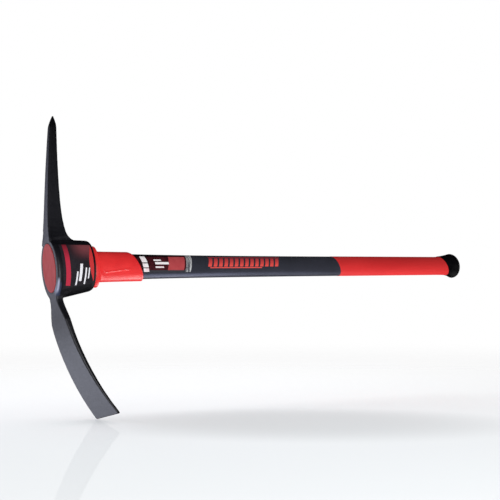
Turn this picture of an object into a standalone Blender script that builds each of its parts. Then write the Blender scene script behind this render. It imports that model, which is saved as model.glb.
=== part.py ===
"""Pick mattock: a forged head with a pick and an adze, wedged on a jacketed fibreglass handle.

Sizes are in millimetres and become metres as each mesh is made. The handle runs along +X
from the face of the plug in the eye. The pick points along +Z and the adze along -Z.
"""

import math

import bmesh
import bpy

MM = 0.001
GAP = 0.3  # clearance between pieces that touch or fit into each other

# Handle
LENGTH = 914.0  # face of the plug to the end of the cap
HANDLE_HEIGHT = 36.8
HANDLE_WIDTH = 29.0
HEIGHT_SWELL = 2.0  # added to the half height, and to the half width below, where the swell is measured
WIDTH_SWELL = 0.6
SWELL_PLACE = 172.0
SWELL_LENGTH = 130.0  # distance in which the swell falls to about a third
CORE_HEIGHT = 25.0
CORE_WIDTH = 18.0

# Plug and eye
EYE_HEIGHT = 77.0
EYE_WIDTH = 44.2
EYE_BACK_HEIGHT = 62.0
EYE_BACK_WIDTH = 33.0
EYE_DROP = 2.0  # how far the eye's centre lies below the handle's axis at the face
FACE_SLOPE = -0.019  # the face of the eye leans one degree back towards the adze
PLUG_PROUD = 0.5  # how far the plug's face stands out of the socket
PLUG_FRONT_WALL = 5.0
PLUG_EDGE = 1.0  # chamfer round the plug's face

# Socket, the part of the head round the eye
SOCKET_BACK = 70.0
SOCKET_SIDE_WALL = 9.2
SOCKET_END_WALL = 10.0
SOCKET_BACK_WALL = 9.3
SOCKET_BACK_SIDE_WALL = 10.6
SOCKET_FRONT_DROP = 4.3  # centre of the front rim below the handle's axis
SOCKET_BACK_RISE = 1.9  # centre of the back rim above it
BACK_RADIUS = 7.0
FRONT_RADIUS = 4.0
INSET_SHARE = 0.6  # share of those roundings that the socket has at its top and bottom

# Pick
PICK_REACH = 251.0  # tip above the handle's axis
PICK_POINT = 20.0  # length of the pyramid at the tip
PICK_FORWARD = 1.2  # how far its front face stands out of the rim at its root
PICK_LEAN = 0.11  # back towards the grip for each millimetre up
PICK_BEND = 3500.0  # radius of the slight bend on top of that lean
PICK_ROOT_DEPTH = 25.3
PICK_END_DEPTH = 11.9
PICK_ROOT_WIDTH = 18.5
PICK_END_WIDTH = 11.0
PICK_DEPTH_SWELL = 9.0  # added to the depth at the root
PICK_DEPTH_SWELL_LENGTH = 30.0  # distance in which that falls to about a third
PICK_WIDTH_SWELL = 12.0
PICK_WIDTH_SWELL_LENGTH = 16.0
PICK_FILLET = 10.0  # radius between the pick's back and the socket's top
PICK_SINK = 1.0  # depth of that fillet's foot in the socket's top
PICK_BACK_NARROWING = 0.4  # share of its width that the back loses at that fillet
PICK_CORNER = 2.2  # rounding of the four long edges
PICK_POINT_BOW = 1.35  # power by which the pyramid's sides bow out
PICK_TIP_BACK = 3.0  # how far the tip lies behind the middle of the pyramid's base
PICK_TIP_WIDTH = 1.6

# Adze
ADZE_REACH = 236.5  # edge below the handle's axis
ADZE_RADIUS = 400.0  # bend of the blade's front face
ADZE_BEND_DROP = 5.0  # centre of that bend below the handle's axis
ADZE_BEND_FRONT = -2.3  # where the bend, carried up to its centre's level, would cross
ADZE_WIDTH = 74.5
ADZE_SHOULDER = 23.0  # width that the blade gains just below its neck
NECK_WIDTH = 25.0
NECK_THICKNESS = 11.5
NECK_SET_BACK = 1.0  # of the neck's front face behind the bend
NECK_FOOT_DEPTH = 12.0  # what the neck gains in thickness where it enters the socket
NECK_FOOT_SIDE = 4.0  # the same on each side
SHOULDER_SHARE = 0.2  # share of the blade's length in which it gains its shoulder
ADZE_EDGE_RADIUS = 2.0  # rounding of the long edges
EDGE_THICKNESS = 2.8
ADZE_CORNER = 3.0

# Collar
COLLAR_END = 151.0
COLLAR_SLOPE = -0.43  # how far the collar's end moves along X for each millimetre up
COLLAR_WALL = 3.0
COLLAR_NECK_WALL = 2.2
COLLAR_LIP = 3.5  # length of the rounding at the collar's end
COLLAR_LIP_SLOPE = -0.51  # where that rounding starts, so that it is longer at the top
FLANGE_THICKNESS = 8.0
FLANGE_LAND = 2.5  # how far the flange reaches past the eye all round
FLANGE_EDGE = 1.2  # rounding of the flange's rim
FLARE_LENGTH = 7.0

# Grip and cap
GRIP_LENGTH = 333.5  # from the grip's start, on the handle's axis, to the end of the cap
GRIP_START = LENGTH - GRIP_LENGTH
GRIP_SLOPE = -0.4  # how far the grip's start moves along X for each millimetre up
GRIP_WALL = 2.5
GRIP_PROUD = 0.3
GRIP_FLARE = 0.6  # how far the grip widens where it meets the cap
GRIP_FLARE_LENGTH = 24.0
CAP_LENGTH = 40.5  # from the cap's edge, on the handle's axis, to its end
CAP_START = LENGTH - CAP_LENGTH
CAP_SLOPE = -0.5  # how far the line between grip and cap moves along X for each millimetre up
CAP_HEIGHT = 50.0
CAP_WIDTH = 43.0
CAP_LIP = 0.4  # how far the cap's edge stands proud of the grip
CAP_END_WALL = 9.0
CAP_DOME = 14.0  # length of the rounded end
CAP_LEAN = -0.07  # the knob's widest ring leans towards the head at the top
CAP_FLAT = 0.36  # share of the cap's height and width that its flat end keeps

# Labels
FILM = 0.4
LABEL_LENGTH = 89.3
LABEL_END_SLOPE = 0.2  # how far its end and the tape move along X for each millimetre up
LABEL_TOP_ANGLE = 30.0  # degrees round the handle from the top, on the near side
LABEL_BOTTOM_ANGLE = 127.0
TAPE_WIDTH = 10.8
HEAD_LABEL_FRONT = 9.0
HEAD_LABEL_BACK_MARGIN = 7.0
HEAD_LABEL_TOP_ANGLE = 48.0
HEAD_LABEL_BOTTOM_ANGLE = 140.0

OVAL_SIDES = 48
LABEL_STEPS = 12

parts = bpy.data.collections.new("pick_mattock")
cutters = bpy.data.collections.new("cutters")


def clear_scene():
    for obj in list(bpy.data.objects):
        bpy.data.objects.remove(obj, do_unlink=True)
    bpy.context.scene.collection.children.link(parts)
    bpy.context.scene.collection.children.link(cutters)


def material(name, colour, roughness, metallic=0.0):
    made = bpy.data.materials.new(name)
    made.use_nodes = True
    shader = made.node_tree.nodes["Principled BSDF"]
    shader.inputs["Base Color"].default_value = (*colour, 1.0)
    shader.inputs["Roughness"].default_value = roughness
    shader.inputs["Metallic"].default_value = metallic
    return made


def new_object(name, mesh, finish=None):
    """Links a bmesh as an object: a part when it has a finish, and a hidden helper when not."""
    mesh.normal_update()
    bmesh.ops.recalc_face_normals(mesh, faces=mesh.faces)
    data = bpy.data.meshes.new(name)
    mesh.to_mesh(data)
    mesh.free()
    obj = bpy.data.objects.new(name, data)
    if finish is None:
        cutters.objects.link(obj)
        obj.hide_render = True
        obj.display_type = "WIRE"
    else:
        parts.objects.link(obj)
        data.materials.append(finish)
        data.shade_smooth()
        data.set_sharp_from_angle(angle=math.radians(35))
    return obj


def loft(name, rings, finish=None, sleeve=False):
    """Joins rings of as many points each. A sleeve's last ring joins its first; other lofts are capped."""
    mesh = bmesh.new()
    rows = [[mesh.verts.new([MM * value for value in point]) for point in ring] for ring in rings]
    pairs = list(zip(rows, rows[1:]))
    if sleeve:
        pairs.append((rows[-1], rows[0]))
    else:
        mesh.faces.new(rows[0])
        mesh.faces.new(reversed(rows[-1]))
    for near, far in pairs:
        for index in range(len(near)):
            after = (index + 1) % len(near)
            mesh.faces.new((near[index], far[index], far[after], near[after]))
    return new_object(name, mesh, finish)


def oval_ring(x, half_height, half_width, rise=0.0, slope=0.0):
    """Points of an oval across the handle. Slope moves them along X for each millimetre up."""
    ring = []
    for step in range(OVAL_SIDES):
        angle = 2 * math.pi * step / OVAL_SIDES
        z = rise + half_height * math.cos(angle)
        ring.append((x + slope * z, -half_width * math.sin(angle), z))
    return ring


def boolean(obj, helper, operation):
    step = obj.modifiers.new(helper.name, "BOOLEAN")
    step.operation = operation
    step.solver = "EXACT"
    step.object = helper


def mix(start, end, share):
    return start + (end - start) * share


def ease(share):
    """Goes from 0 to 1 with level ends."""
    share = min(max(share, 0.0), 1.0)
    return share * share * (3 - 2 * share)


def handle_size(x):
    """Half height, half width and centre height of the jacket's outside."""
    swell = math.exp((SWELL_PLACE - x) / SWELL_LENGTH)
    return HANDLE_HEIGHT / 2 + HEIGHT_SWELL * swell, HANDLE_WIDTH / 2 + WIDTH_SWELL * swell, 0.0


def eye_size(x):
    """The same for the plug, which narrows from the face to the back of the socket."""
    share = x / SOCKET_BACK
    half_height = mix(EYE_HEIGHT, EYE_BACK_HEIGHT, share) / 2
    half_width = mix(EYE_WIDTH, EYE_BACK_WIDTH, share) / 2
    return half_height, half_width, mix(-EYE_DROP, 0.0, share)


def socket_size(x):
    """The same for the socket's outside, before its front and back edges are rounded."""
    share = x / SOCKET_BACK
    half_height = mix(EYE_HEIGHT / 2 + SOCKET_END_WALL, EYE_BACK_HEIGHT / 2 + SOCKET_BACK_WALL, share)
    half_width = mix(EYE_WIDTH / 2 + SOCKET_SIDE_WALL, EYE_BACK_WIDTH / 2 + SOCKET_BACK_SIDE_WALL, share)
    return half_height, half_width, mix(-SOCKET_FRONT_DROP, SOCKET_BACK_RISE, share)


def sized_ring(size, x, slope, grow_height, grow_width):
    """Oval in a sloping plane. Each point takes the size of the place where the slope brings it."""
    ring = []
    for local_x, _, _ in oval_ring(x, *size(x), slope=slope):
        angle = 2 * math.pi * len(ring) / OVAL_SIDES
        half_height, half_width, rise = size(local_x)
        z = rise + (half_height + grow_height) * math.cos(angle)
        ring.append((x + slope * z, -(half_width + grow_width) * math.sin(angle), z))
    return ring


def handle_ring(x, grow=0.0, slope=0.0):
    return sized_ring(handle_size, x, slope, grow, grow)


def eye_ring(x, grow=0.0, slope=0.0):
    return sized_ring(eye_size, x, slope, grow, grow)


def socket_ring(x, inset=0.0, slope=0.0):
    return sized_ring(socket_size, x, slope, -INSET_SHARE * inset, -inset)


def core_ring(x, grow=0.0):
    return oval_ring(x, CORE_HEIGHT / 2 + grow, CORE_WIDTH / 2 + grow)


def arm_ring(x, z, lean, depth, half_width, corner, back_share=1.0):
    """A rounded rectangle across an arm, from (x, z) on its front face back along the lean.

    Back share is the share of the width that its back keeps.
    """
    back = (math.cos(lean), math.sin(lean))
    ring = []
    for centre_depth, centre_side, quarter in (
        (corner, half_width - corner, 1),
        (corner, corner - half_width, 2),
        (depth - corner, corner - half_width * back_share, 3),
        (depth - corner, half_width * back_share - corner, 4),
    ):
        for step in range(4):
            angle = math.pi / 2 * (quarter + step / 3)
            along = centre_depth + corner * math.cos(angle)
            side = centre_side + corner * math.sin(angle)
            ring.append((x + along * back[0], side, z + along * back[1]))
    return ring


def face_x(z):
    """The leaning plane of the socket's front rim."""
    return PLUG_PROUD + FACE_SLOPE * z


def pick_ring(z, root, shoulder):
    """One section of the pick, which tapers, leans and bends back, and swells at its root."""
    up = z - root
    taper = up / (shoulder - root)
    x = face_x(root) - PICK_FORWARD + PICK_LEAN * up + up * up / (2 * PICK_BEND)
    near_root = max(0.0, PICK_FILLET - up)
    fillet = PICK_FILLET - math.sqrt(PICK_FILLET**2 - near_root**2)
    depth_swell = PICK_DEPTH_SWELL * math.exp(-up / PICK_DEPTH_SWELL_LENGTH)
    width_swell = PICK_WIDTH_SWELL * math.exp(-up / PICK_WIDTH_SWELL_LENGTH)
    depth = mix(PICK_ROOT_DEPTH, PICK_END_DEPTH, taper) + depth_swell + fillet
    width = mix(PICK_ROOT_WIDTH, PICK_END_WIDTH, taper) + width_swell
    back_share = 1.0 - PICK_BACK_NARROWING * fillet / PICK_FILLET
    return arm_ring(x, z, 0.0, depth, width / 2, PICK_CORNER, back_share)


def pick_rings():
    """Bar from inside the socket's top wall up to a pyramid with bowed sides."""
    half_height, _, rise = socket_size(PICK_ROOT_DEPTH + PICK_DEPTH_SWELL + PICK_FILLET)
    root = half_height + rise - PICK_SINK
    shoulder = PICK_REACH - PICK_POINT
    inside = root - SOCKET_END_WALL / 2
    base = pick_ring(root, root, shoulder)
    rings = [[(x, y, inside) for x, y, z in base], base]
    steps = 12
    for step in range(1, steps + 1):
        rings.append(pick_ring(mix(root, shoulder, (step / steps) ** 2), root, shoulder))
    up = shoulder - root
    top_x = face_x(root) - PICK_FORWARD + PICK_LEAN * up + up * up / (2 * PICK_BEND)
    for share in (0.3, 0.6, 1.0):
        shrink = 1 - share**PICK_POINT_BOW
        depth = mix(PICK_TIP_WIDTH, PICK_END_DEPTH, shrink)
        half_width = mix(PICK_TIP_WIDTH, PICK_END_WIDTH, shrink) / 2
        middle = top_x + PICK_END_DEPTH / 2 + PICK_TIP_BACK * share
        z = mix(shoulder, PICK_REACH, share)
        rings.append(arm_ring(middle - depth / 2, z, 0.0, depth, half_width, half_width * 0.4))
    return rings


def adze_rings():
    """Blade that bends along an arc, widens below its neck and thins to its edge."""
    root = EYE_HEIGHT / 2 + SOCKET_END_WALL + SOCKET_FRONT_DROP
    rings = []
    for height, foot in ((SOCKET_END_WALL, 1.0), (SOCKET_END_WALL * 0.4, 0.2)):
        z = height - root
        depth = NECK_THICKNESS + NECK_FOOT_DEPTH * foot
        half_width = NECK_WIDTH / 2 + NECK_FOOT_SIDE * foot
        rings.append(arm_ring(face_x(z) + GAP, z, 0.0, depth, half_width, ADZE_EDGE_RADIUS))
    centre_x = ADZE_BEND_FRONT + ADZE_RADIUS
    first = math.asin((root + 1.0 - ADZE_BEND_DROP) / ADZE_RADIUS)
    last = math.asin((ADZE_REACH - ADZE_BEND_DROP) / ADZE_RADIUS)
    corner_angle = ADZE_CORNER / ADZE_RADIUS
    steps = 14
    angles = [mix(first, last - corner_angle, (step / steps) ** 1.4) for step in range(steps)]
    angles += [last - corner_angle * (1 - math.sin(math.pi / 2 * step / 4)) for step in range(5)]
    below_shoulder = ADZE_WIDTH - NECK_WIDTH - ADZE_SHOULDER
    for angle in angles:
        share = (angle - first) / (last - first)
        shoulder = ease(share / SHOULDER_SHARE)
        width = NECK_WIDTH + ADZE_SHOULDER * shoulder + below_shoulder * share
        past = max(0.0, 1 - (last - angle) / corner_angle)
        width -= 2 * ADZE_CORNER * (1 - math.sqrt(max(0.0, 1 - past**2)))
        thickness = EDGE_THICKNESS + (NECK_THICKNESS - EDGE_THICKNESS) * (1 - share) ** 1.3
        x = centre_x - ADZE_RADIUS * math.cos(angle) + NECK_SET_BACK * (1 - shoulder)
        z = -ADZE_BEND_DROP - ADZE_RADIUS * math.sin(angle)
        rings.append(arm_ring(x, z, angle, thickness, width / 2, min(ADZE_EDGE_RADIUS, thickness * 0.35)))
    return rings


def make_head():
    """Socket with both arms joined to it and the tapered eye cut through it."""
    rings = []
    for step in range(6):
        turn = math.pi / 2 * step / 5
        x = PLUG_PROUD + FRONT_RADIUS * (1 - math.cos(turn))
        rings.append(socket_ring(x, inset=FRONT_RADIUS * (1 - math.sin(turn)), slope=FACE_SLOPE))
    straight_start = PLUG_PROUD + FRONT_RADIUS
    straight_end = SOCKET_BACK - BACK_RADIUS
    rings += [socket_ring(mix(straight_start, straight_end, step / 4)) for step in range(1, 5)]
    for step in range(1, 5):
        turn = math.pi / 2 * step / 4
        x = straight_end + BACK_RADIUS * math.sin(turn)
        rings.append(socket_ring(x, inset=BACK_RADIUS * (1 - math.cos(turn))))
    steel = material("forged_steel", (0.03, 0.03, 0.035), 0.45, 0.2)
    head = loft("mattock_head", rings, steel)
    boolean(head, loft("pick_arm", pick_rings()), "UNION")
    boolean(head, loft("adze_arm", adze_rings()), "UNION")
    past = 6.0  # how far the cutter reaches out of the eye at both ends
    eye = [eye_ring(-past, GAP), eye_ring(SOCKET_BACK + past, GAP)]
    boolean(head, loft("eye_cutter", eye), "DIFFERENCE")


def make_core():
    resin = material("fibreglass", (0.55, 0.5, 0.32), 0.5)
    ends = PLUG_FRONT_WALL + GAP, LENGTH - CAP_END_WALL - GAP
    loft("fibreglass_core", [core_ring(ends[0]), core_ring(ends[1])], resin)


def make_plug():
    """Solid at its face and bored from behind for the core."""
    red = material("plug_red", (0.43, 0.09, 0.1), 0.5)
    rings = [eye_ring(0.0, -PLUG_EDGE, FACE_SLOPE), eye_ring(PLUG_EDGE, 0.0, FACE_SLOPE)]
    rings += [eye_ring(SOCKET_BACK), core_ring(SOCKET_BACK, GAP), core_ring(PLUG_FRONT_WALL, GAP)]
    loft("eye_plug", rings, red)


def make_jacket():
    """Dark sleeve from the plug to the cap, stepped down under the grip."""
    dark = material("jacket_plastic", (0.03, 0.032, 0.045), 0.4)
    start = SOCKET_BACK + GAP
    end = LENGTH - CAP_END_WALL - GAP
    under = GRIP_PROUD - GRIP_WALL - GAP
    steps = 14
    rings = [handle_ring(mix(start, GRIP_START, (step / steps) ** 1.5)) for step in range(steps)]
    rings += [handle_ring(GRIP_START, grow, GRIP_SLOPE) for grow in (0.0, under)]
    rings += [handle_ring(mix(GRIP_START, end, 0.5), under), handle_ring(end, under)]
    rings += [core_ring(end, GAP), core_ring(start, GAP)]
    loft("handle_jacket", rings, dark, sleeve=True)


def make_collar():
    """Flange against the head, a flared neck and a body that ends on a slope with a rounded lip."""
    red = material("collar_red", (0.75, 0.03, 0.03), 0.35)
    start = SOCKET_BACK + GAP
    flange_height = EYE_BACK_HEIGHT / 2 + FLANGE_LAND
    flange_width = EYE_BACK_WIDTH / 2 + FLANGE_LAND
    flange_end = start + FLANGE_THICKNESS
    rings = [
        oval_ring(start, flange_height - FLANGE_EDGE, flange_width - FLANGE_EDGE),
        oval_ring(start + FLANGE_EDGE, flange_height, flange_width),
        oval_ring(flange_end - FLANGE_EDGE, flange_height, flange_width),
    ]
    neck = flange_end + FLARE_LENGTH
    neck_height, neck_width = (size + GAP + COLLAR_NECK_WALL for size in handle_size(neck)[:2])
    for step in range(4):
        turn = math.pi / 2 * step / 3
        x = flange_end + FLARE_LENGTH * (1 - math.cos(turn))
        half_height = mix(flange_height - FLANGE_EDGE, neck_height, math.sin(turn))
        half_width = mix(flange_width - FLANGE_EDGE / 3, neck_width, math.sin(turn))
        rings.append(oval_ring(x, half_height, half_width))
    body_end = COLLAR_END - COLLAR_LIP
    for share in (0.35, 0.7, 1.0):
        grow = GAP + mix(COLLAR_NECK_WALL, COLLAR_WALL, share)
        rings.append(handle_ring(mix(neck, body_end, share), grow, COLLAR_LIP_SLOPE * share))
    for step in range(1, 4):
        turn = math.pi / 2 * step / 3
        grow = GAP + COLLAR_WALL * mix(0.25, 1.0, math.cos(turn))
        slope = mix(COLLAR_LIP_SLOPE, COLLAR_SLOPE, math.sin(turn))
        rings.append(handle_ring(body_end + COLLAR_LIP * math.sin(turn), grow, slope))
    rings.append(handle_ring(COLLAR_END, GAP, COLLAR_SLOPE))
    rings += [handle_ring(mix(start, COLLAR_END, share), GAP) for share in (0.75, 0.5, 0.25, 0.0)]
    loft("overstrike_collar", rings, red, sleeve=True)


def make_grip():
    red = material("grip_red", (0.6, 0.03, 0.03), 0.45)
    start = GRIP_START + GAP
    end = LENGTH - CAP_END_WALL - GAP
    inside = GRIP_PROUD - GRIP_WALL
    rings = [handle_ring(start, 0.0, GRIP_SLOPE)]
    rings.append(handle_ring(start + 2 * GRIP_PROUD, GRIP_PROUD, GRIP_SLOPE))
    flare_start = CAP_START - GRIP_FLARE_LENGTH
    rings += [handle_ring(mix(start, flare_start, share), GRIP_PROUD) for share in (0.15, 0.4, 0.7)]
    for step in range(5):
        share = step / 4
        grow = GRIP_PROUD + GRIP_FLARE * share**2
        rings.append(handle_ring(mix(flare_start, CAP_START, share), grow, CAP_SLOPE * share))
    rings.append(handle_ring(end, GRIP_PROUD + GRIP_FLARE))
    rings += [handle_ring(end, inside), handle_ring(mix(start, end, 0.5), inside)]
    rings.append(handle_ring(start, inside, GRIP_SLOPE))
    loft("grip_sleeve", rings, red, sleeve=True)


def make_cap():
    """Knob that grows out of the grip's line, with a pocket for the handle's end and a flat on its end."""
    black = material("cap_black", (0.012, 0.012, 0.014), 0.5)
    knob_start = LENGTH - CAP_DOME
    knob_height, knob_width = CAP_HEIGHT / 2, CAP_WIDTH / 2
    fit = GRIP_PROUD + GRIP_FLARE + GAP
    lip_height, lip_width = (size + fit + CAP_LIP for size in handle_size(CAP_START)[:2])
    rings = []
    for step in range(5):
        share = step / 4
        half_height = mix(lip_height, knob_height, share**1.5)
        half_width = mix(lip_width, knob_width, share**1.5)
        slope = mix(CAP_SLOPE, CAP_LEAN, share)
        rings.append(oval_ring(mix(CAP_START, knob_start, share), half_height, half_width, slope=slope))
    for step in range(1, 7):
        turn = math.pi / 2 * step / 6
        share = mix(CAP_FLAT, 1.0, math.cos(turn))
        x = mix(knob_start, LENGTH, math.sin(turn))
        rings.append(oval_ring(x, knob_height * share, knob_width * share, slope=CAP_LEAN * (1 - step / 6)))
    pocket_end = LENGTH - CAP_END_WALL
    rings.reverse()
    rings += [handle_ring(CAP_START, fit, CAP_SLOPE), handle_ring(pocket_end, fit)]
    loft("end_cap", rings, black)


def film_ring(inner, outer, top_angle, bottom_angle):
    """Section of a thin film: down its outer face between two angles from the top, and up its inner face."""
    first = round(OVAL_SIDES * top_angle / 360)
    last = round(OVAL_SIDES * bottom_angle / 360)
    return outer[first : last + 1] + inner[first : last + 1][::-1]


def handle_film(start, end, start_slope, end_slope):
    """Film on the handle, whose two ends slope."""
    rings = []
    for step in range(LABEL_STEPS + 1):
        share = step / LABEL_STEPS
        x = mix(start, end, share)
        slope = mix(start_slope, end_slope, share)
        inner, outer = (handle_ring(x, grow, slope) for grow in (GAP, GAP + FILM))
        rings.append(film_ring(inner, outer, LABEL_TOP_ANGLE, LABEL_BOTTOM_ANGLE))
    return rings


def make_labels():
    paper = material("label_paper", (0.2, 0.02, 0.03), 0.4)
    start = COLLAR_END + GAP
    end = start + LABEL_LENGTH
    loft("shelf_label", handle_film(start, end, COLLAR_SLOPE, LABEL_END_SLOPE), paper)
    tape = material("clear_tape", (0.5, 0.52, 0.55), 0.2)
    tape_start = end + GAP
    tape_rings = handle_film(tape_start, tape_start + TAPE_WIDTH, LABEL_END_SLOPE, LABEL_END_SLOPE)
    loft("label_tape", tape_rings, tape)
    film = material("printed_film", (0.05, 0.04, 0.05), 0.3)
    rings = []
    for step in range(LABEL_STEPS + 1):
        x = mix(HEAD_LABEL_FRONT, SOCKET_BACK - HEAD_LABEL_BACK_MARGIN, step / LABEL_STEPS)
        inner, outer = socket_ring(x, -GAP), socket_ring(x, -GAP - FILM)
        rings.append(film_ring(inner, outer, HEAD_LABEL_TOP_ANGLE, HEAD_LABEL_BOTTOM_ANGLE))
    loft("head_label", rings, film)


clear_scene()
make_head()
make_core()
make_plug()
make_jacket()
make_collar()
make_grip()
make_cap()
make_labels()
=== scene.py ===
"""Pick mattock: the looks of the tool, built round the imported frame.

The handle runs along +X from the face of the plug in the eye, the pick points along +Z and the
adze along -Z. The labelled side, which the camera sees, faces -Y. Sizes are in millimetres, as on
a drawing, and become metres as each mesh is made. The studio is laid out in metres. An angle goes
round the handle from its top towards the labelled side.
"""

import math

import bmesh
import bpy
from mathutils import Matrix, Vector


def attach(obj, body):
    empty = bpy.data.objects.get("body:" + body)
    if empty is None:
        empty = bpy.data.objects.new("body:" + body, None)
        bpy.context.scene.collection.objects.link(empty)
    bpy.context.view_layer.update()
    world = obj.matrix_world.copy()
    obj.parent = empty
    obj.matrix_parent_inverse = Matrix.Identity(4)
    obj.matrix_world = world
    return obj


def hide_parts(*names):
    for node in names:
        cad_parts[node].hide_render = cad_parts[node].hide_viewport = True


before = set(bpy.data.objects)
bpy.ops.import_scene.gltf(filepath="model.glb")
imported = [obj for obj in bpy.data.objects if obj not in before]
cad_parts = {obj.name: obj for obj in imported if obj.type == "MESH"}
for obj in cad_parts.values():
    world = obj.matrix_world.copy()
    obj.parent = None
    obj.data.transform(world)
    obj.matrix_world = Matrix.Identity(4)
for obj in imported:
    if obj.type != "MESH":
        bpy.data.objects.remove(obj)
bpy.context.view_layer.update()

MM = 0.001
GAP = 0.3

# Handle, with the swell towards the head
LENGTH = 914.0
HANDLE_HALF_HEIGHT = 18.4
HANDLE_HALF_WIDTH = 14.5
HEIGHT_SWELL = 2.0
WIDTH_SWELL = 0.6
SWELL_PLACE = 172.0
SWELL_LENGTH = 130.0
CORE_HALF_HEIGHT = 12.5
CORE_HALF_WIDTH = 9.0

# Eye and socket: half height, half width and centre height at the face and at the back
EYE_FACE = 38.5, 22.1, -2.0
EYE_BACK = 31.0, 16.5, 0.0
SOCKET_FACE = 48.5, 31.3, -4.3
SOCKET_REAR = 40.3, 27.1, 1.9
SOCKET_BACK = 70.0
BACK_RADIUS = 7.0
INSET_SHARE = 0.6
FACE_SLOPE = -0.019

# Plug, with a shallow sunk panel in its face: shares of the face's size, and depths
PANEL = (0.0, 0.5), (0.5, 0.5), (0.8, 0.42), (0.86, 0.1), (0.92, 0.02)
PLUG_EDGE = 0.4
PLUG_STRAIGHT = 8.0  # from here on its sections are upright
PLUG_FRONT_WALL = 5.0

# Collar
FLANGE_THICKNESS = 8.0
FLANGE_HALF_HEIGHT = 33.5
FLANGE_HALF_WIDTH = 19.0
FLANGE_EDGE = 1.2
FLARE_LENGTH = 7.0
COLLAR_NECK_WALL = 2.2
COLLAR_WALL = 3.0
COLLAR_END = 151.0
COLLAR_SLOPE = -0.43
COLLAR_LIP = 3.5
COLLAR_LIP_SLOPE = -0.51
COLLAR_LIP_SHARE = 0.15  # share of the wall that is left at the lip's end

# Low ridge that slants along the collar's labelled side
CREASE_START = 83.0
CREASE_END = 136.0
CREASE_RISE = 3.0
CREASE_FALL = 6.0
CREASE_HEIGHT = 1.1
CREASE_WIDTH = 0.7
CREASE_PLACES = 84.0, 132.0
CREASE_ANGLES = 121.0, 109.0
CREASE_RADIUS = 17.0  # from the handle's axis to the collar's side

# Grip and cap
GRIP_START = 580.5
GRIP_SLOPE = -0.4
GRIP_RELIEF_START = 2.0  # its seams start this far behind its edge
GRIP_SLOPED = 20.0  # length in which its sections straighten up
GRIP_WALL = 2.5
GRIP_PROUD = 0.3
GRIP_FLARE = 0.6
GRIP_FLARE_LENGTH = 24.0
RIB_PLACES = 636.0, 652.0, 668.0
RIB_ANGLES = 80.0, 146.0
RIB_FADE = 14.0
RIB_HEIGHT = 0.25
RIB_WIDTH = 2.4
CAP_START = 873.5
CAP_SLOPE = -0.5
CAP_HALF_HEIGHT = 25.0
CAP_HALF_WIDTH = 21.5
CAP_LIP = 0.4
CAP_EDGE = 0.2
CAP_END_WALL = 9.0
CAP_DOME = 14.0
CAP_LEAN = -0.07
CAP_FLAT = 0.36

# Films on the labelled side
FILM = 0.3
LABEL_END = 240.6
LABEL_END_SLOPE = 0.2
LABEL_ANGLES = 30.0, 127.5
TAPE_WIDTH = 10.8
HEAD_FILM_FRONT = 9.0
HEAD_FILM_BACK = 63.0
HEAD_FILM_ANGLES = 46.0, 140.0

# Head
HEAD_GRAIN = 0.97  # size of the small faces that it is made of
SOFTENING = (0.5, -0.52) * 5  # smoothing steps that go in and out, so that the head keeps its size
ROOT_BLEND = 38.5, 60.0  # heights between which the pick's face blends into the rim
ROOT_BLEND_DEPTH = 5.0
ROOT_BLEND_PASSES = 40
BLADE_EXTRA = 1.3  # the adze's back stands out this much more, so that its side shows wide enough
BLADE_START = -100.0
BLADE_EASE = 80.0
BACKWARDS = 0.3  # a face whose normal has more than this of +X is on the back

# Mesh
SIDES = 120
COLLAR_SIDES = 200
CROWDING = 0.35
MERGE = 0.002
SEAM_HEIGHT = 0.15  # mould seams along the top and the bottom of the moulded pieces
SEAM_WIDTH = 0.5


def mix(start, end, share):
    return start + (end - start) * share


def ease(share):
    """Goes from 0 to 1 with level ends."""
    share = min(max(share, 0.0), 1.0)
    return share * share * (3 - 2 * share)


def arc(steps):
    """Pairs of sine and 1 - cosine over a quarter turn."""
    turns = [math.pi / 2 * step / steps for step in range(steps + 1)]
    return [(math.sin(turn), 1 - math.cos(turn)) for turn in turns]


def handle_size(x):
    """Half height, half width and centre height of the jacket's outside."""
    swell = math.exp((SWELL_PLACE - x) / SWELL_LENGTH)
    return HANDLE_HALF_HEIGHT + HEIGHT_SWELL * swell, HANDLE_HALF_WIDTH + WIDTH_SWELL * swell, 0.0


def eye_size(x):
    return tuple(mix(near, far, x / SOCKET_BACK) for near, far in zip(EYE_FACE, EYE_BACK))


def socket_size(x):
    """Outside of the socket, drawn in where its back edge is rounded."""
    half_height, half_width, rise = (
        mix(near, far, x / SOCKET_BACK) for near, far in zip(SOCKET_FACE, SOCKET_REAR)
    )
    past = min(max(x - SOCKET_BACK + BACK_RADIUS, 0.0), BACK_RADIUS) / BACK_RADIUS
    inset = BACK_RADIUS * (1 - math.sqrt(1 - past * past))
    return half_height - INSET_SHARE * inset, half_width - inset, rise


def core_size(x):
    """Hole for the rod, the same all along."""
    return CORE_HALF_HEIGHT + GAP, CORE_HALF_WIDTH + GAP, 0.0


def section(size, x, slope=0.0, grow=0.0):
    """Oval across the handle at x, as a function from an angle to a point.

    Slope moves its points along X for each millimetre up. Grow is added all round, or is a
    function of the place along X and the angle.
    """

    def point(angle):
        half_height, _, rise = size(x)
        place = x + slope * (rise + half_height * math.cos(angle))
        half_height, half_width, rise = size(place)
        extra = grow(place, angle) if callable(grow) else grow
        z = rise + (half_height + extra) * math.cos(angle)
        return x + slope * z, -(half_width + extra) * math.sin(angle), z

    return point


def oval(x, half_height, half_width, rise=0.0, slope=0.0):
    return section(lambda place: (half_height, half_width, rise), x, slope)


def seam(place, angle):
    """Thin raised line where the halves of the mould met."""
    return SEAM_HEIGHT * math.exp(-((HANDLE_HALF_WIDTH * math.sin(angle) / SEAM_WIDTH) ** 2))


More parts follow.
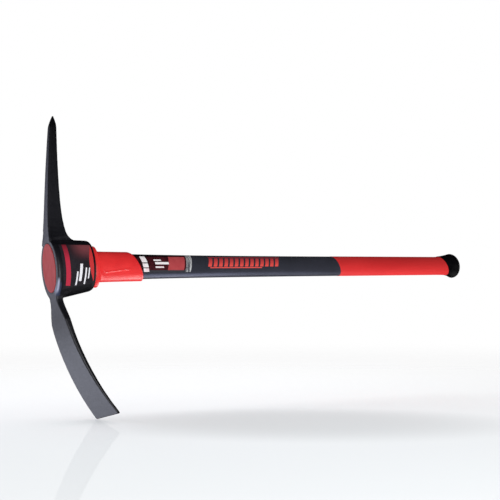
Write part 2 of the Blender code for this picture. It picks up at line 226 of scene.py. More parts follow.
def finish_mesh(name, mesh, material, nodes, sharp=40.0):
    """Makes a bmesh a piece of the tool that stands for the named CAD nodes."""
    bmesh.ops.recalc_face_normals(mesh, faces=mesh.faces)
    data = bpy.data.meshes.new(name)
    mesh.to_mesh(data)
    mesh.free()
    data.shade_smooth()
    data.set_sharp_from_angle(angle=math.radians(sharp))
    data.materials.append(material)
    piece = bpy.data.objects.new(name, data)
    bpy.context.scene.collection.objects.link(piece)
    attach(piece, "root")
    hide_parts(*nodes)


def loft(sections, sides=SIDES):
    """Sweeps a circle through the sections. Its points crowd at the seams, top and bottom."""
    mesh = bmesh.new()
    circle = bmesh.ops.create_circle(mesh, segments=sides, radius=1.0)["verts"]
    angles = {}
    for index, vert in enumerate(circle):
        even = 2 * math.pi * index / sides
        angles[vert] = even - CROWDING * math.sin(2 * even)
        vert.co = Vector(sections[0](angles[vert])) * MM
    edges = mesh.edges[:]
    for point in sections[1:]:
        made = bmesh.ops.extrude_edge_only(mesh, edges=edges)["geom"]
        edges = [item for item in made if isinstance(item, bmesh.types.BMEdge) and item.is_boundary]
        moved = {}
        for vert in (item for item in made if isinstance(item, bmesh.types.BMVert)):
            ends = (edge.other_vert(vert) for edge in vert.link_edges)
            moved[vert] = next(angles[end] for end in ends if end in angles)
        angles = moved
        for vert, angle in angles.items():
            vert.co = Vector(point(angle)) * MM
    bmesh.ops.remove_doubles(mesh, verts=mesh.verts, dist=MERGE * MM)
    return mesh


# Materials. The real grain of a mould is about 0.2 mm, too fine to show, so each is drawn coarser.

CLOUDS = 0.35, 0.65  # values of a noise between which one tone goes over to the other


def colour(code):
    """Linear values of an sRGB hex colour."""
    values = [int(code[place : place + 2], 16) / 255 for place in (1, 3, 5)]
    return (*(v / 12.92 if v <= 0.04045 else ((v + 0.055) / 1.055) ** 2.4 for v in values), 1.0)


def fill(node, inputs):
    """Links or sets inputs of a node, given by name or number. A text is a hex colour."""
    for name, value in inputs.items():
        if isinstance(value, bpy.types.NodeSocket):
            node.id_data.links.new(value, node.inputs[name])
        else:
            node.inputs[name].default_value = colour(value) if isinstance(value, str) else value


def add(tree, kind, inputs=(), **settings):
    """Adds a node with its settings and links, and returns its first output in use.

    A list fills its inputs in use in turn, and a dictionary fills those that it names.
    """
    made = tree.nodes.new("ShaderNode" + kind)
    for name, value in settings.items():
        setattr(made, name, value)
    if not isinstance(inputs, dict):
        used = [number for number, socket in enumerate(made.inputs) if socket.enabled]
        inputs = dict(zip(used, inputs))
    fill(made, inputs)
    return next((socket for socket in made.outputs if socket.enabled), None)


def start_material(name, specular=0.5, tint="#ffffff"):
    """Starts a piece's material: itself, its nodes, its shader and the place in millimetres."""
    made = bpy.data.materials.new(name)
    made.use_nodes = True
    tree = made.node_tree
    shader = tree.nodes["Principled BSDF"]
    fill(shader, {"IOR": 1.5, "Specular IOR Level": specular, "Specular Tint": tint})
    place = add(tree, "TexCoord").node.outputs["Object"]
    return made, tree, shader, add(tree, "VectorMath", [place, 1 / MM], operation="SCALE")


def wash(tree, tone, over, value, start, full, strength=1.0, kind="LINEAR"):
    """Lays a colour over a tone: none of it where value is start, and that strength of it at full."""
    share = add(tree, "MapRange", [value, start, full, 0.0, strength], interpolation_type=kind)
    return add(tree, "Mix", [share, tone, over], data_type="RGBA")


def bars(tree, x, z, layout, slant=0.0):
    """Mask of upright bars with sharp ends, each a centre and a size along X and Z.

    They lean along X by slant for each millimetre up.
    """
    leaning = add(tree, "Math", [z, -slant, x], operation="MULTIPLY_ADD")
    mask = 0.0
    for centre, size in layout:
        middle = centre[0] - slant * centre[1]
        along = add(tree, "Math", [leaning, middle, size[0] / 2], operation="COMPARE")
        up = add(tree, "Math", [z, centre[1], size[1] / 2], operation="COMPARE")
        inside = add(tree, "Math", [along, up], operation="MULTIPLY")
        mask = add(tree, "Math", [mask, inside], operation="MAXIMUM")
    return mask


def raise_bumps(tree, shader, layers):
    """Stacks bump layers, each a height and its depth in millimetres."""
    normal = {}
    for height, depth in layers:
        normal = {"Normal": add(tree, "Bump", {**normal, "Height": height, "Distance": depth * MM})}
    fill(shader, normal)


def forged_steel():
    """Drop-forged carbon steel under satin black lacquer, with painted shade towards the ends and a painted
    highlight on the rim of the eye.
    """
    made, tree, shader, where = start_material("lacquered_forged_steel", 0.45, "#f6f6ff")
    x, y, z = add(tree, "SeparateXYZ", [where]).node.outputs
    broad = add(tree, "TexNoise", [where, 1 / 38.0, 3.0])
    hammered = add(tree, "TexNoise", [where, 1 / 7.0, 2.0])
    scale = add(tree, "TexNoise", [where, 1 / 2.2, 4.0])
    tone = wash(tree, "#0f0f14", "#131318", broad, *CLOUDS)
    tone = wash(tree, tone, "#1c1d24", scale, 0.55, 0.8, 0.35)
    # Painted shade: the lacquer darkens to near black towards the adze's end and the pick's tip
    for start, dark in ((-60.0, -130.0), (150.0, 230.0)):
        tone = wash(tree, tone, "#030304", z, start, dark, 0.9, "SMOOTHSTEP")
    # The painted highlight on the eye's lower rim is a broad grey one and a narrow bright one, each between
    # four limits
    for code, limits in (
        ("#343c56", ((x, 0.9, 1.8), (x, 8.5, 5.5), (z, -27.0, -34.0), (z, -50.0, -46.0))),
        ("#a4aac2", ((x, 0.9, 1.7), (x, 4.6, 2.2), (z, -21.0, -29.0), (z, -47.0, -39.0))),
    ):
        painted_highlight = add(tree, "MapRange", [y, -6.0, -13.0], interpolation_type="SMOOTHSTEP")
        for value, edge, inside in limits:
            within = add(tree, "MapRange", [value, edge, inside], interpolation_type="SMOOTHSTEP")
            painted_highlight = add(tree, "Math", [painted_highlight, within], operation="MULTIPLY")
        tone = add(tree, "Mix", [painted_highlight, tone, code], data_type="RGBA")
    rough = add(tree, "MapRange", [scale, 0.3, 0.7, 0.36, 0.46])
    fill(shader, {"Base Color": tone, "Roughness": rough})
    raise_bumps(tree, shader, [(broad, 0.5), (hammered, 0.12), (scale, 0.05)])
    return made


def plug_plastic():
    """Moulded polypropylene, dull on its trimmed end, with faint upright marks of the trimming."""
    made, tree, shader, where = start_material("trimmed_polypropylene", 0.3)
    drawn_out = add(tree, "Mapping", {"Vector": where, "Scale": (1.0, 1.0, 0.06)})
    streak = add(tree, "TexNoise", [drawn_out, 1 / 3.0, 3.0])
    dust = add(tree, "TexNoise", [where, 1 / 9.0, 3.0])
    fine = add(tree, "TexNoise", [where, 1 / 0.9, 2.0])
    tone = wash(tree, "#a63637", "#b34344", streak, *CLOUDS)
    tone = wash(tree, tone, "#b85957", dust, 0.4, 0.8, 0.3)
    fill(shader, {"Base Color": tone, "Roughness": 0.6})
    raise_bumps(tree, shader, [(streak, 0.08), (fine, 0.03)])
    return made


def jacket_plastic():
    """Polypropylene moulded over the fibreglass, with a fine mould grain and a printed row of bars."""
    made, tree, shader, where = start_material("moulded_polypropylene", 0.27, "#b4c0ff")
    x, y, z = add(tree, "SeparateXYZ", [where]).node.outputs
    cloud = add(tree, "TexNoise", [where, 1 / 60.0, 2.0])
    fine = add(tree, "TexNoise", [where, 1 / 0.8, 2.0])
    base = wash(tree, "#2e2f36", "#33343c", cloud, *CLOUDS)
    pitch = 11.0
    filled = 0.66  # share of the pitch that is printed
    lean = 0.32
    leaning = add(tree, "Math", [z, -lean, x], operation="MULTIPLY_ADD")
    repeat = add(tree, "Math", [leaning, pitch], operation="DIVIDE")
    repeat = add(tree, "Math", [repeat], operation="FRACT")
    stripes = add(tree, "Math", [repeat, filled], operation="LESS_THAN")
    row = bars(tree, x, z, [((364.0, 4.0), (14 * pitch, 15.0))], lean)
    lines = bars(tree, x, z, [((366.0, 13.2), (14 * pitch, 1.5)), ((344.0, -5.4), (10 * pitch, 1.5))], lean)
    mark = add(tree, "Math", [stripes, row], operation="MULTIPLY")
    mark = add(tree, "Math", [mark, lines], operation="MAXIMUM")
    labelled_side = add(tree, "Math", [y, 0.0], operation="LESS_THAN")
    mark = add(tree, "Math", [mark, labelled_side], operation="MULTIPLY")
    ink = wash(tree, "#9c2b36", "#e8544a", z, 14.0, -4.0)
    tone = add(tree, "Mix", [mark, base, ink], data_type="RGBA")
    rough = add(tree, "MapRange", [fine, 0.3, 0.7, 0.24, 0.32])
    fill(shader, {"Base Color": tone, "Roughness": rough})
    raise_bumps(tree, shader, [(fine, 0.03)])
    return made


def collar_plastic():
    """Glossy moulded polypropylene, bright red, with slight waves that bend its reflections."""
    made, tree, shader, where = start_material("glossy_polypropylene")
    cloud = add(tree, "TexNoise", [where, 1 / 30.0, 2.0])
    fine = add(tree, "TexNoise", [where, 1 / 1.2, 2.0])
    fill(shader, {"Base Color": wash(tree, "#e0272a", "#ea2e2f", cloud, *CLOUDS), "Roughness": 0.3})
    raise_bumps(tree, shader, [(cloud, 0.3), (fine, 0.015)])
    return made


def grip_plastic():
    """Thermoplastic rubber with a fine matte mould grain."""
    made, tree, shader, where = start_material("moulded_rubber", 0.3)
    drawn_out = add(tree, "Mapping", {"Vector": where, "Scale": (0.3, 1.0, 1.0)})
    cloud = add(tree, "TexNoise", [drawn_out, 1 / 45.0, 3.0])
    fine = add(tree, "TexNoise", [where, 1 / 0.9, 2.0])
    rough = add(tree, "MapRange", [fine, 0.3, 0.7, 0.4, 0.5])
    fill(shader, {"Base Color": wash(tree, "#cb2426", "#d42a2b", cloud, *CLOUDS), "Roughness": rough})
    raise_bumps(tree, shader, [(cloud, 0.4), (fine, 0.04)])
    return made


def cap_plastic():
    """Black thermoplastic rubber, a little shinier where the mould was polished."""
    made, tree, shader, where = start_material("black_rubber", 0.15)
    cloud = add(tree, "TexNoise", [where, 1 / 14.0, 2.0])
    fine = add(tree, "TexNoise", [where, 1 / 0.9, 2.0])
    rough = add(tree, "MapRange", [cloud, 0.3, 0.7, 0.32, 0.42])
    fill(shader, {"Base Color": wash(tree, "#060608", "#0b0b0e", cloud, *CLOUDS), "Roughness": rough})
    raise_bumps(tree, shader, [(cloud, 0.25), (fine, 0.03)])
    return made


def fibreglass():
    """Pultruded glass fibre and polyester: pale, with fibres along the rod, drawn coarse enough to show."""
    made, tree, shader, where = start_material("pultruded_fibreglass")
    drawn_out = add(tree, "Mapping", {"Vector": where, "Scale": (0.02, 1.0, 1.0)})
    fibres = add(tree, "TexNoise", [drawn_out, 1 / 1.2, 4.0])
    fill(shader, {"Base Color": wash(tree, "#b9a878", "#d8cba0", fibres, *CLOUDS), "Roughness": 0.45})
    raise_bumps(tree, shader, [(fibres, 0.08)])
    return made


def label_film():
    """Printed polypropylene label: a slanted band, plain bars and a salmon panel on a dark field."""
    made, tree, shader, where = start_material("printed_label_film")
    x, _, z = add(tree, "SeparateXYZ", [where]).node.outputs
    haze = add(tree, "TexNoise", [where, 1 / 9.0, 3.0])
    field = wash(tree, "#15090c", "#3c1219", x, 150.0, 185.0)
    field = wash(tree, field, "#5c2029", haze, 0.45, 0.75, 0.6)
    panel = bars(tree, x, z, [((222.5, 2.5), (31.5, 24.0))], LABEL_END_SLOPE)
    salmon = add(tree, "Mix", [haze, "#a93c42", "#bd5052"], data_type="RGBA")
    field = add(tree, "Mix", [panel, field, salmon], data_type="RGBA")
    field = wash(tree, field, "#0d0a0c", z, 13.5, 14.5)
    field = wash(tree, field, "#3b3c42", z, -9.0, -9.5)
    band = [((160.5, 9.0), (10.0, 11.0)), ((162.4, -1.5), (10.0, 6.5)), ((163.8, -9.0), (10.0, 5.5))]
    rows = [((186.0, 7.5), (14.0, 2.6)), ((194.0, 2.2), (26.0, 4.0)), ((189.0, -4.4), (16.0, 2.4))]
    white = bars(tree, x, z, band + rows, -0.226)
    ink = wash(tree, "#f6f2f4", "#eebcc4", haze, 0.5, 0.7, 0.5)
    tone = add(tree, "Mix", [white, field, ink], data_type="RGBA")
    fill(shader, {"Base Color": tone, "Roughness": 0.22})
    raise_bumps(tree, shader, [(haze, 0.1)])
    return made


def tape_film():
    """Clear adhesive tape, milky and streaked where it has lifted, and along its rear edge."""
    made, tree, shader, where = start_material("clear_tape", 0.6)
    x, _, z = add(tree, "SeparateXYZ", [where]).node.outputs
    drawn_out = add(tree, "Mapping", {"Vector": where, "Scale": (1.0, 0.2, 0.12)})
    streak = add(tree, "TexNoise", [drawn_out, 1 / 2.0, 3.0])
    along = add(tree, "Math", [z, -LABEL_END_SLOPE, x], operation="MULTIPLY_ADD")
    edge = add(tree, "MapRange", [along, 247.3, 249.8, 0.0, 0.5], interpolation_type="SMOOTHSTEP")
    cover = add(tree, "MapRange", [streak, 0.4, 0.65, 0.25, 0.7])
    cover = add(tree, "Math", [cover, edge], operation="ADD")
    cover = add(tree, "Math", [cover, 1.0], operation="MINIMUM")
    tone = wash(tree, "#8a8c90", "#eceded", streak, 0.4, 0.7)
    fill(shader, {"Base Color": tone, "Alpha": cover, "Roughness": 0.15})
    raise_bumps(tree, shader, [(streak, 0.15)])
    return made


def head_film():
    """Printed film on the socket: a dark field with a red band, white bars and a red rear edge."""
    made, tree, shader, where = start_material("printed_wrap_film", 0.4)
    x, _, z = add(tree, "SeparateXYZ", [where]).node.outputs
    haze = add(tree, "TexNoise", [where, 1 / 12.0, 3.0])
    field = wash(tree, "#222026", "#2b262c", haze, *CLOUDS)
    # Painted reflection: a reddish gloss towards the top and rear of the film
    painted_reflection = add(tree, "MapRange", [z, 0.0, 28.0, 0.0, 0.9], interpolation_type="SMOOTHSTEP")
    rearward = add(tree, "MapRange", [x, 20.0, 52.0], interpolation_type="SMOOTHSTEP")
    painted_reflection = add(tree, "Math", [painted_reflection, rearward], operation="MULTIPLY")
    field = add(tree, "Mix", [painted_reflection, field, "#87444a"], data_type="RGBA")
    band = bars(tree, x, z, [((18.0, -1.0), (8.0, 68.0))])
    red = wash(tree, "#6d1d2a", "#c02b44", z, 33.0, 5.0)
    field = add(tree, "Mix", [band, field, red], data_type="RGBA")
    pair = [((33.0, -24.0), (2.6, 20.0)), ((40.0, -15.0), (4.6, 26.0))]
    rear_pair = [((48.0, -20.0), (2.6, 24.0)), ((54.0, -16.0), (2.0, 16.0))]
    white = bars(tree, x, z, pair + rear_pair, 0.12)
    field = add(tree, "Mix", [white, field, "#f1f0f6"], data_type="RGBA")
    # The rear edge is bowed: it lies further back away from the middle
    bow = add(tree, "Math", [z, z], operation="MULTIPLY")
    bowed = add(tree, "Math", [bow, -0.0095, x], operation="MULTIPLY_ADD")
    rear = add(tree, "Math", [bowed, 55.5], operation="GREATER_THAN")
    red = add(tree, "Mix", [haze, "#c02a2d", "#d23a3c"], data_type="RGBA")
    tone = add(tree, "Mix", [rear, field, red], data_type="RGBA")
    fill(shader, {"Base Color": tone, "Roughness": 0.3})
    raise_bumps(tree, shader, [(haze, 0.15)])
    return made


# Pieces


def forge_head():
    """Head with soft forged edges: the solid is remeshed finely and smoothed.

    The adze's back is then brought out a little, and the pick's face is blended into the rim.
    """
    mesh = bmesh.new()
    mesh.from_mesh(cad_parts["mattock_head"].data)
    bmesh.ops.remove_doubles(mesh, verts=mesh.verts, dist=0.001 * MM)
    rough = bpy.data.meshes.new("head_rough")
    mesh.to_mesh(rough)
    mesh.free()
    body = bpy.data.objects.new("head_rough", rough)
    bpy.context.scene.collection.objects.link(body)
    remesh = body.modifiers.new("voxels", "REMESH")
    remesh.mode = "VOXEL"
    remesh.voxel_size = HEAD_GRAIN * MM
    for factor in SOFTENING:
        step = body.modifiers.new("soften", "SMOOTH")
        step.factor = factor
        step.iterations = 1
    fine = bmesh.new()
    fine.from_object(body, bpy.context.evaluated_depsgraph_get())
    bpy.data.objects.remove(body)
    fine.normal_update()
    for vert in fine.verts:
        if vert.normal.x > BACKWARDS:
            vert.co.x += BLADE_EXTRA * MM * ease((BLADE_START - vert.co.z / MM) / BLADE_EASE)
    low, high = (value * MM for value in ROOT_BLEND)
    root = [v for v in fine.verts if low < v.co.z < high and v.co.x < ROOT_BLEND_DEPTH * MM]
    along_x = {"use_axis_x": True, "use_axis_y": False, "use_axis_z": False}
    for _ in range(ROOT_BLEND_PASSES):
        bmesh.ops.smooth_vert(fine, verts=root, factor=0.5, **along_x)
    finish_mesh("head_forging", fine, forged_steel(), ["mattock_head"], sharp=80.0)


def mould_plug():
    """Flared handle end: a face with a shallow sunk panel, tapered sides and a bore for the core."""
    sections = []
    for share, depth in PANEL:
        height, width = (value * share for value in EYE_FACE[:2])
        sections.append(oval(depth, height, width, EYE_FACE[2], FACE_SLOPE))
    for sine, rise in arc(4):
        sections.append(section(eye_size, PLUG_EDGE * rise, FACE_SLOPE, PLUG_EDGE * (sine - 1)))
    sections += [section(eye_size, x) for x in (PLUG_STRAIGHT, SOCKET_BACK / 2, SOCKET_BACK)]
    sections += [section(core_size, SOCKET_BACK), section(core_size, PLUG_FRONT_WALL)]
    sections.append(oval(PLUG_FRONT_WALL, 0.0, 0.0))
    finish_mesh("flared_plug", loft(sections), plug_plastic(), ["eye_plug"], sharp=60.0)


def mould_jacket():
    """Long sleeve with mould seams, stepped down where the grip covers it."""
    start = SOCKET_BACK + GAP
    end = LENGTH - CAP_END_WALL - GAP
    under = GRIP_PROUD - GRIP_WALL - GAP
    steps = 60
    shares = [step / steps for step in range(steps)]
    sections = [section(handle_size, mix(start, GRIP_START, share), grow=seam) for share in shares]
    sections += [section(handle_size, GRIP_START, GRIP_SLOPE, grow) for grow in (seam, under)]
    sections += [section(handle_size, x, grow=under) for x in (mix(GRIP_START, end, 0.5), end)]
    sections += [section(core_size, x) for x in (end, start)]
    sections.append(sections[0])
    finish_mesh("jacket_sleeve", loft(sections), jacket_plastic(), ["handle_jacket"])


def crease(place, angle):
    """Low slanted ridge along the collar's labelled side, and the mould seams."""
    first, last = CREASE_PLACES
    line = math.radians(mix(*CREASE_ANGLES, (place - first) / (last - first)))
    across = (angle - line) * CREASE_RADIUS
    ends = ease((place - CREASE_START) / CREASE_RISE) * ease((CREASE_END - place) / CREASE_FALL)
    return CREASE_HEIGHT * ends * math.exp(-((across / CREASE_WIDTH) ** 2)) + seam(place, angle)


def mould_collar():
    """Flange against the head, a flared neck, and a body that ends on a slope with a rounded lip."""
    start = SOCKET_BACK + GAP
    flange_end = start + FLANGE_THICKNESS
    neck = flange_end + FLARE_LENGTH
    neck_height, neck_width = (size + GAP + COLLAR_NECK_WALL for size in handle_size(neck)[:2])
    sections = []
    for sine, rise in arc(4):
        inset = FLANGE_EDGE * (1 - sine)
        place = start + FLANGE_EDGE * rise
        sections.append(oval(place, FLANGE_HALF_HEIGHT - inset, FLANGE_HALF_WIDTH - inset))
    for sine, rise in arc(4):
        inset = FLANGE_EDGE * rise
        place = flange_end - FLANGE_EDGE * (1 - sine)
        sections.append(oval(place, FLANGE_HALF_HEIGHT - inset, FLANGE_HALF_WIDTH - inset / 3))
    for sine, rise in arc(10)[1:]:
        height = mix(FLANGE_HALF_HEIGHT - FLANGE_EDGE, neck_height, sine)
        width = mix(FLANGE_HALF_WIDTH - FLANGE_EDGE / 3, neck_width, sine)
        sections.append(oval(flange_end + FLARE_LENGTH * rise, height, width))
    body_end = COLLAR_END - COLLAR_LIP
    steps = 48
    for step in range(1, steps + 1):
        share = step / steps
        wall = GAP + mix(COLLAR_NECK_WALL, COLLAR_WALL, share)

        def grow(place, angle, wall=wall):
            return wall + crease(place, angle)

        sections.append(section(handle_size, mix(neck, body_end, share), COLLAR_LIP_SLOPE * share, grow))
    for sine, rise in arc(8)[1:]:
        wall = GAP + COLLAR_WALL * mix(COLLAR_LIP_SHARE, 1.0, 1 - rise)
        slope = mix(COLLAR_LIP_SLOPE, COLLAR_SLOPE, sine)
        sections.append(section(handle_size, body_end + COLLAR_LIP * sine, slope, wall))
    sections.append(section(handle_size, COLLAR_END, COLLAR_SLOPE, GAP))
    sections += [section(handle_size, mix(start, COLLAR_END, share), grow=GAP) for share in (0.7, 0.35, 0.0)]
    sections.append(sections[0])
    mesh = loft(sections, COLLAR_SIDES)
    finish_mesh("collar_sleeve", mesh, collar_plastic(), ["overstrike_collar"])


def grip_relief(place, angle):
    """How far the grip stands out from the jacket, with its seams and low ribs near its start."""
    height = GRIP_PROUD + seam(place, angle)
    first, last = RIB_ANGLES
    turned = math.degrees(angle)
    round_it = ease((turned - first) / RIB_FADE) * ease((last - turned) / RIB_FADE)
    for centre in RIB_PLACES:
        height += RIB_HEIGHT * math.exp(-(((place - centre) / RIB_WIDTH) ** 2)) * round_it
    return height


def mould_grip():
    """Sleeve that starts on a slope with a small rounded edge and widens a little towards the cap."""
    start = GRIP_START + GAP
    end = LENGTH - CAP_END_WALL - GAP
    inside = GRIP_PROUD - GRIP_WALL
    sections = [section(handle_size, start, GRIP_SLOPE, -GRIP_PROUD)]
    for sine, rise in arc(4):
        sections.append(section(handle_size, start + rise, GRIP_SLOPE, GRIP_PROUD * sine))
    flare_start = CAP_START - GRIP_FLARE_LENGTH
    upright = start + GRIP_SLOPED
    for share in (0.0, 0.25, 0.5, 0.75, 1.0):
        place = mix(start + GRIP_RELIEF_START, upright, share)
        sections.append(section(handle_size, place, GRIP_SLOPE * (1 - share), grip_relief))
    steps = 110
    for step in range(1, steps + 1):
        sections.append(section(handle_size, mix(upright, flare_start, step / steps), grow=grip_relief))
    steps = 12
    for step in range(1, steps + 1):
        share = step / steps

        def grow(place, angle, share=share):
            return grip_relief(place, angle) + GRIP_FLARE * share**2

        sections.append(section(handle_size, mix(flare_start, CAP_START, share), CAP_SLOPE * share, grow))
    sections.append(section(handle_size, end, grow=GRIP_PROUD + GRIP_FLARE))
    sections += [section(handle_size, x, grow=inside) for x in (end, mix(start, end, 0.5))]
    sections.append(section(handle_size, start, GRIP_SLOPE, inside))
    sections.append(sections[0])
    finish_mesh("grip_tube", loft(sections), grip_plastic(), ["grip_sleeve"])


def mould_cap():
    """Knob that grows out of the grip's line, with a domed end, a flat and a pocket for the handle."""
    knob_start = LENGTH - CAP_DOME
    fit = GRIP_PROUD + GRIP_FLARE + GAP
    lip = [size + fit + CAP_LIP for size in handle_size(CAP_START)[:2]]
    knob = [CAP_HALF_HEIGHT, CAP_HALF_WIDTH]
    pocket_end = LENGTH - CAP_END_WALL
    sections = [oval(pocket_end, 0.0, 0.0), section(handle_size, pocket_end, grow=fit)]
    sections.append(section(handle_size, CAP_START, CAP_SLOPE, fit))
    sections.append(section(handle_size, CAP_START, CAP_SLOPE, fit + CAP_LIP / 2))
    steps = 24
    for step in range(steps + 1):
        share = step / steps
        edge = CAP_EDGE * max(0.0, 1 - step / 2)
        size = [mix(a, b, share**1.5) - edge for a, b in zip(lip, knob)]
        place = mix(CAP_START, knob_start, share)
        sections.append(oval(place, *size, slope=mix(CAP_SLOPE, CAP_LEAN, share)))
    for sine, rise in arc(18)[1:]:
        share = mix(CAP_FLAT, 1.0, 1 - rise)
        slope = CAP_LEAN * (1 - 2 * math.asin(sine) / math.pi)
        size = [value * share for value in knob]
        sections.append(oval(mix(knob_start, LENGTH, sine), *size, slope=slope))
    sections.append(oval(LENGTH, 0.0, 0.0))
    finish_mesh("knob_cap", loft(sections), cap_plastic(), ["end_cap"], sharp=50.0)


def lay_film(name, size, start, end, angles, material, node, slopes=(0.0, 0.0)):
    """Thin film on the labelled side, between two places along X and two angles."""
    mesh = bmesh.new()
    bmesh.ops.create_grid(mesh, x_segments=60, y_segments=40, size=1.0)
    for vert in mesh.verts:
        along, round_it = (vert.co.x + 1) / 2, (vert.co.y + 1) / 2
        angle = math.radians(mix(*angles, round_it))
        point = section(size, mix(start, end, along), mix(*slopes, along), GAP)
        vert.co = Vector(point(angle)) * MM
    bmesh.ops.recalc_face_normals(mesh, faces=mesh.faces)
    faces = mesh.faces[:]
    if faces[len(faces) // 2].normal.y > 0:
        bmesh.ops.reverse_faces(mesh, faces=faces)
    bmesh.ops.solidify(mesh, geom=faces, thickness=-FILM * MM)
    finish_mesh(name, mesh, material, [node])


def make_films():
    label = COLLAR_END + GAP
    lay_film("printed_label", handle_size, label, LABEL_END, LABEL_ANGLES, label_film(),
             "shelf_label", (COLLAR_SLOPE, LABEL_END_SLOPE))
    tape = LABEL_END + GAP
    lay_film("tape_band", handle_size, tape, tape + TAPE_WIDTH, LABEL_ANGLES, tape_film(),
             "label_tape", (LABEL_END_SLOPE, LABEL_END_SLOPE))
    lay_film("socket_wrap", socket_size, HEAD_FILM_FRONT, HEAD_FILM_BACK, HEAD_FILM_ANGLES, head_film(),
             "head_label")


# Studio, in metres

CAMERA_SWING = -37.01  # degrees about the upright, from facing the labelled side
CAMERA_LIFT = 12.0  # degrees that it looks up
CAMERA_ROLL = -8.363
CAMERA_TURN = (
    Matrix.Rotation(math.radians(CAMERA_SWING), 4, "Z")
    @ Matrix.Rotation(math.radians(90.0 + CAMERA_LIFT), 4, "X")
    @ Matrix.Rotation(math.radians(CAMERA_ROLL), 4, "Z")
)
CAMERA_OFFSET = Vector((0.31004, 0.02623, 1.4965))  # right, up and back from the plug's face
LENS = 69.96

WORLD_DIM = 0.36  # its strength as a light on dull surfaces

FLOOR_PITCH = math.radians(-4.2)
FLOOR_UP = CAMERA_TURN.to_3x3() @ Vector((0.0, math.cos(FLOOR_PITCH), math.sin(FLOOR_PITCH)))
FLOOR_SIDE = CAMERA_TURN.to_3x3() @ Vector((1.0, 0.0, 0.0))
FLOOR_SHIFT = 0.3  # its centre lies this far to the right of the adze's lowest corner
FLOOR_RADIUS = 6.0
FLOOR_WHOLE = 0.1  # it doesn't fade within this distance of its centre
FLOOR_NEAR = 1.5  # the floor fades in step with its height in the picture from this far away
FLOOR_SHEEN = 0.09
# Painted shadow: a soft oval darkening of the floor's colour under the handle
SHADE_HALF_LENGTH = 0.37  # the soft oval shade under the handle
SHADE_HALF_DEPTH = 0.27
SHADE_SHIFT = -0.08, 0.18, 0.0  # the floor's centre as the shade sees it, in its half length and depth
SHADE_STRENGTH = 0.21


def studio(right, up, near):
    """Place given along the camera's right, up and towards it, from the plug's face."""
    return CAMERA_TURN @ Vector((right, up, near))


def gather(name, pieces):
    """Collection of the pieces, for a lamp to light or to be blocked by."""
    made = bpy.data.collections.new(name)
    for piece in pieces:
        made.objects.link(piece)
    return made


def softbox(name, place, target, size, brightness, tint="#ffffff", only=None):
    """Area lamp, aimed at a target, whose own surface has that brightness, where 1 is white.

    It lights everything, or only the objects given.
    """
    data = bpy.data.lights.new(name, "AREA")
    data.shape = "RECTANGLE"
    data.size, data.size_y = size
    data.energy = brightness * math.pi * size[0] * size[1]
    data.color = colour(tint)[:3]
    lamp = bpy.data.objects.new(name, data)
    lamp.location = studio(*place)
    aim = studio(*target) - lamp.location
    lamp.rotation_euler = aim.to_track_quat("-Z", "Y").to_euler()
    lamp.visible_camera = False
    bpy.context.scene.collection.objects.link(lamp)
    if only:
        lamp.light_linking.receiver_collection = gather(name + "_lit", only)
    return lamp


def set_camera():
    data = bpy.data.cameras.new("photo_view")
    data.lens = LENS
    data.sensor_width = 36.0
    camera = bpy.data.objects.new("photo_view", data)
    camera.matrix_world = Matrix.Translation(CAMERA_TURN @ CAMERA_OFFSET) @ CAMERA_TURN
    bpy.context.scene.collection.objects.link(camera)
    bpy.context.scene.camera = camera


def set_world():
    """White where the camera, gloss or glass looks, and dimmer as a light on dull surfaces."""
    world = bpy.data.worlds.new("studio_world")
    world.use_nodes = True
    tree = world.node_tree
    tree.nodes.clear()
    rays = add(tree, "LightPath").node.outputs
    seen = add(tree, "Math", [rays["Is Camera Ray"], rays["Is Glossy Ray"]], operation="MAXIMUM")
    seen = add(tree, "Math", [seen, rays["Is Transmission Ray"]], operation="MAXIMUM")
    strength = add(tree, "MapRange", [seen, 0.0, 1.0, WORLD_DIM, 1.0])
    add(tree, "OutputWorld", [add(tree, "Background", ["#ffffff", strength])])
    bpy.context.scene.world = world


def start_studio_material(name):
    """An empty material and its nodes."""
    made = bpy.data.materials.new(name)
    made.use_nodes = True
    made.node_tree.nodes.clear()
    return made, made.node_tree


def show_surface(tree, share, surface):
    """Ends a studio material: the surface shows by that share, and the rest is clear."""
    clear = add(tree, "BsdfTransparent")
    add(tree, "OutputMaterial", [add(tree, "MixShader", [share, clear, surface])])


def stage_mesh(name, mesh, place, turn, material):
    """Makes a bmesh a part of the studio, at that place and turned so."""
    data = bpy.data.meshes.new(name)
    mesh.to_mesh(data)
    mesh.free()
    data.materials.append(material)
    piece = bpy.data.objects.new(name, data)
    piece.matrix_world = Matrix.Translation(place) @ turn.to_4x4()
    bpy.context.scene.collection.objects.link(piece)
    return piece


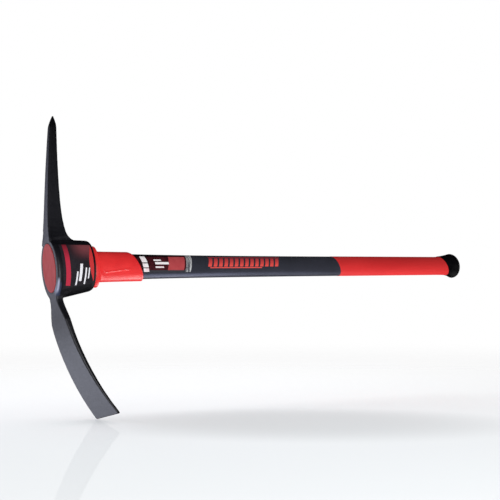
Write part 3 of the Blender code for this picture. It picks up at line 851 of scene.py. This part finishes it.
def white_acrylic():
    """Matt white acrylic with a faint mirror image, a painted soft oval shadow and an edge that fades out.
    """
    made, tree = start_studio_material("matt_white_acrylic")
    where = add(tree, "TexCoord").node.outputs["Object"]
    reach = add(tree, "VectorMath", [where], operation="LENGTH")
    reach = add(tree, "Math", [reach, FLOOR_NEAR], operation="ADD")
    near = add(tree, "Math", [1.0, reach], operation="DIVIDE")
    limits = [1 / (FLOOR_RADIUS + FLOOR_NEAR), 1 / (FLOOR_WHOLE + FLOOR_NEAR)]
    fade = add(tree, "MapRange", [near, *limits], interpolation_type="SMOOTHSTEP")
    away = add(tree, "SeparateXYZ", [where]).node.outputs["Y"]
    tone = wash(tree, "#f0f5f8", "#f6f7f9", away, -0.8, 0.5, kind="SMOOTHSTEP")
    # Painted shadow: the floor darkens in a soft oval under the handle
    sizes = 1 / SHADE_HALF_LENGTH, 1 / SHADE_HALF_DEPTH, 0.0
    shadow_reach = add(tree, "Mapping", {"Vector": where, "Location": SHADE_SHIFT, "Scale": sizes})
    shadow_reach = add(tree, "VectorMath", [shadow_reach, shadow_reach], operation="DOT_PRODUCT")
    tone = wash(tree, tone, "#000000", shadow_reach, 1.0, 0.0, SHADE_STRENGTH, "SMOOTHSTEP")
    surface = [FLOOR_SHEEN, add(tree, "BsdfDiffuse", [tone]), add(tree, "BsdfGlossy", ["#ffffff", 0.0])]
    rays = add(tree, "LightPath").node.outputs
    seen = add(tree, "Math", [rays["Is Camera Ray"], rays["Is Diffuse Ray"]], operation="MAXIMUM")
    back = add(tree, "NewGeometry").node.outputs["Backfacing"]
    front = add(tree, "Math", [1.0, back], operation="SUBTRACT")
    share = add(tree, "Math", [seen, front], operation="MULTIPLY")
    share = add(tree, "Math", [share, fade], operation="MULTIPLY")
    show_surface(tree, share, add(tree, "MixShader", surface))
    return made


def lay_floor():
    """Pale floor through the adze's lowest corner, seen almost edge on."""
    corners = (vert.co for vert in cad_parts["mattock_head"].data.vertices)
    lowest = min(corners, key=lambda corner: corner.dot(FLOOR_UP))
    mesh = bmesh.new()
    bmesh.ops.create_circle(mesh, segments=96, radius=FLOOR_RADIUS, cap_ends=True)
    turn = Matrix((FLOOR_SIDE, FLOOR_UP.cross(FLOOR_SIDE), FLOOR_UP)).transposed()
    return stage_mesh("studio_floor", mesh, lowest + FLOOR_SIDE * FLOOR_SHIFT, turn, white_acrylic())


def black_card():
    """Matt black card that only soft gloss sees, so that the floor's mirror image stays free of it."""
    made, tree = start_studio_material("matt_black_card")
    rays = add(tree, "LightPath").node.outputs
    gloss = add(tree, "Math", [rays["Is Glossy Ray"], rays["Is Singular Ray"]], operation="SUBTRACT")
    show_surface(tree, gloss, add(tree, "BsdfDiffuse", ["#101012"]))
    return made


def hang_cards():
    """Cards round the tool for dark edges, each with its place, the way it faces and its half size."""
    material = black_card()
    for name, place, facing, size in (
        ("upper_card", (2.4, 0.7, -0.9), (0.0, 1.0, 0.0), 4.0),
        ("lower_card", (1.0, -1.8, -0.9), (0.0, 1.0, 0.0), 6.0),
        ("right_card", (3.2, -0.4, 0.4), (1.0, 0.0, 0.0), 1.5),
        ("back_card", (-2.3, -0.3, -2.5), (0.0, 0.0, 1.0), 1.4),
    ):
        mesh = bmesh.new()
        bmesh.ops.create_grid(mesh, size=size)
        turn = studio(*facing).to_track_quat("Z", "Y").to_matrix()
        stage_mesh(name, mesh, studio(*place), turn, material)


def light_studio(floor):
    """Lamps round the tool. One is for the moulded pieces, and one for the floor and their shadow."""
    moulded = [bpy.data.objects[name] for name in ("jacket_sleeve", "collar_sleeve", "grip_tube")]
    softbox("left_box", (-0.85, -0.89, -0.3), (0.0, -0.2, 0.0), (0.9, 1.1), 3.1, "#e6eafa")
    softbox("side_box", (-0.95, 0.1, -0.3), (0.0, 0.0, 0.0), (0.6, 0.7), 1.7, "#d6daf8")
    softbox("low_box", (1.0, -0.7, -0.42), (0.4, 0.0, -0.3), (0.8, 0.2), 1.8)
    softbox("foot_box", (0.66, -0.79, -0.28), (0.2, 0.0, -0.1), (0.75, 0.3), 6.8, only=moulded)
    softbox("front_box", (0.8, 0.15, 1.4), (0.3, 0.0, -0.3), (1.4, 1.2), 3.1)
    above = softbox("floor_box", (0.1, 1.6, -1.2), (0.3, -0.25, -0.8), (2.4, 1.6), 2.8, only=[floor])
    above.visible_glossy = False
    above.light_linking.blocker_collection = gather("floor_box_blocked", moulded)


forge_head()
mould_plug()
mould_jacket()
mould_collar()
mould_grip()
mould_cap()
make_films()
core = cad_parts["fibreglass_core"]
core.data.materials.clear()
core.data.materials.append(fibreglass())
set_camera()
set_world()
floor = lay_floor()
hang_cards()
light_studio(floor)
bpy.context.scene.view_settings.view_transform = "Standard"
